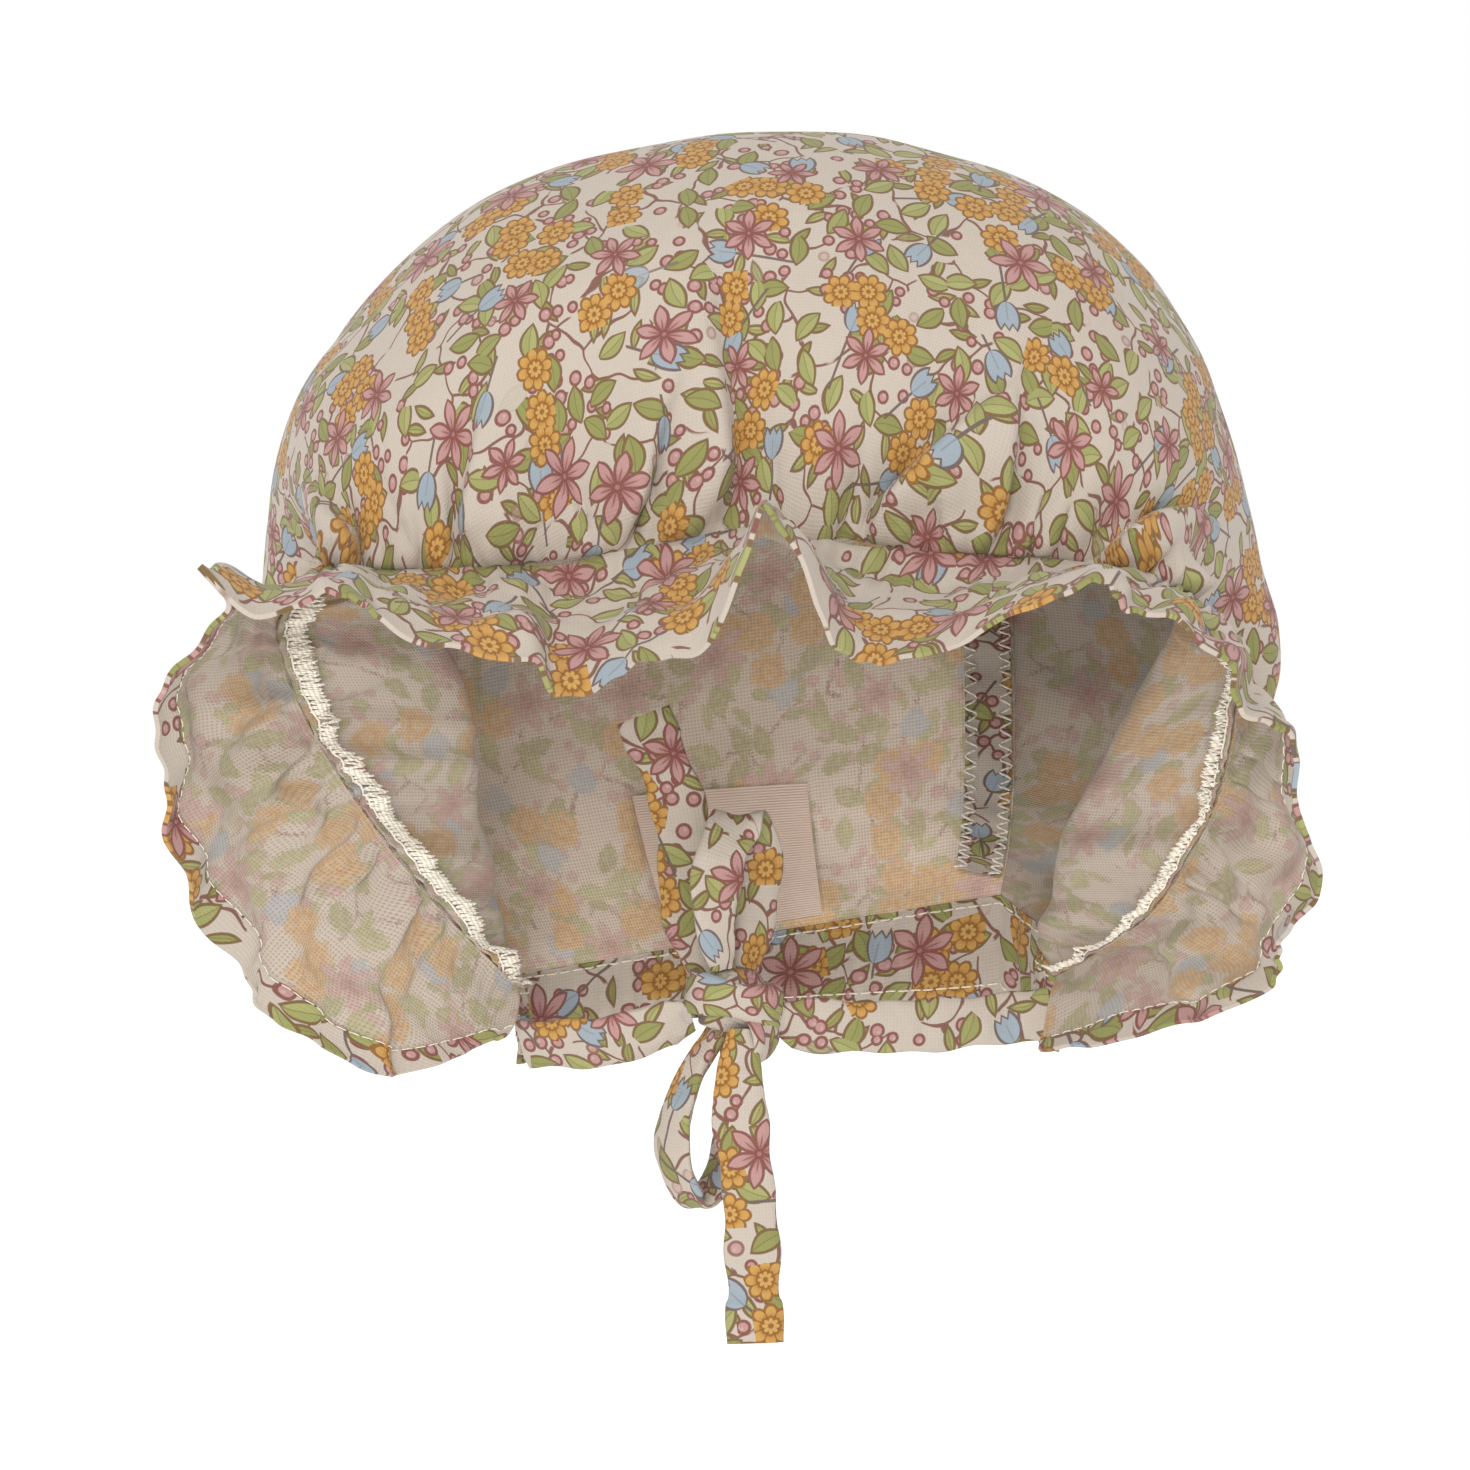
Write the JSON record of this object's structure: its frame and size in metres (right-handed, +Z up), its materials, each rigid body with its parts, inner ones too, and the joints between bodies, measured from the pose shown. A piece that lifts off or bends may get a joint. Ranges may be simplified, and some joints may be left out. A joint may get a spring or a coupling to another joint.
{
  "type": "baby sun bonnet with a ruffle brim",
  "caption": "Soft cotton sun bonnet for a baby: gathered crown, horseshoe back panel, ruffle brim round the face, neck casing and ties in a bow.",
  "frame": {"origin": "top of the head inside the crown, where the bonnet sits on a head", "axes": "+Z up, -Y out through the face opening, +X to the right seen from the front"},
  "size_m": [0.2144, 0.1529, 0.2282],
  "materials": {
    "printed_cotton": "thin plain-weave cotton, cream ground with a small floral print",
    "overlock_thread": "cloth edge bound in cream overlock thread",
    "label_ribbon": "plain ribbed satin ribbon"
  },
  "bodies": {
    "root": {"crown_band": "printed_cotton", "back_panel": "printed_cotton", "brim_ruffle": "printed_cotton", "neck_casing": "printed_cotton", "brim_seam_allowance": "overlock_thread", "back_allowance_left": "overlock_thread", "back_allowance_right": "overlock_thread", "label": "label_ribbon", "tie_left": "printed_cotton", "tie_right": "printed_cotton", "bow_knot": "printed_cotton", "bow_loop_upper": "printed_cotton", "bow_loop_lower": "printed_cotton", "bow_tail_short": "printed_cotton", "bow_tail_long": "printed_cotton"}
  },
  "joints": []
}
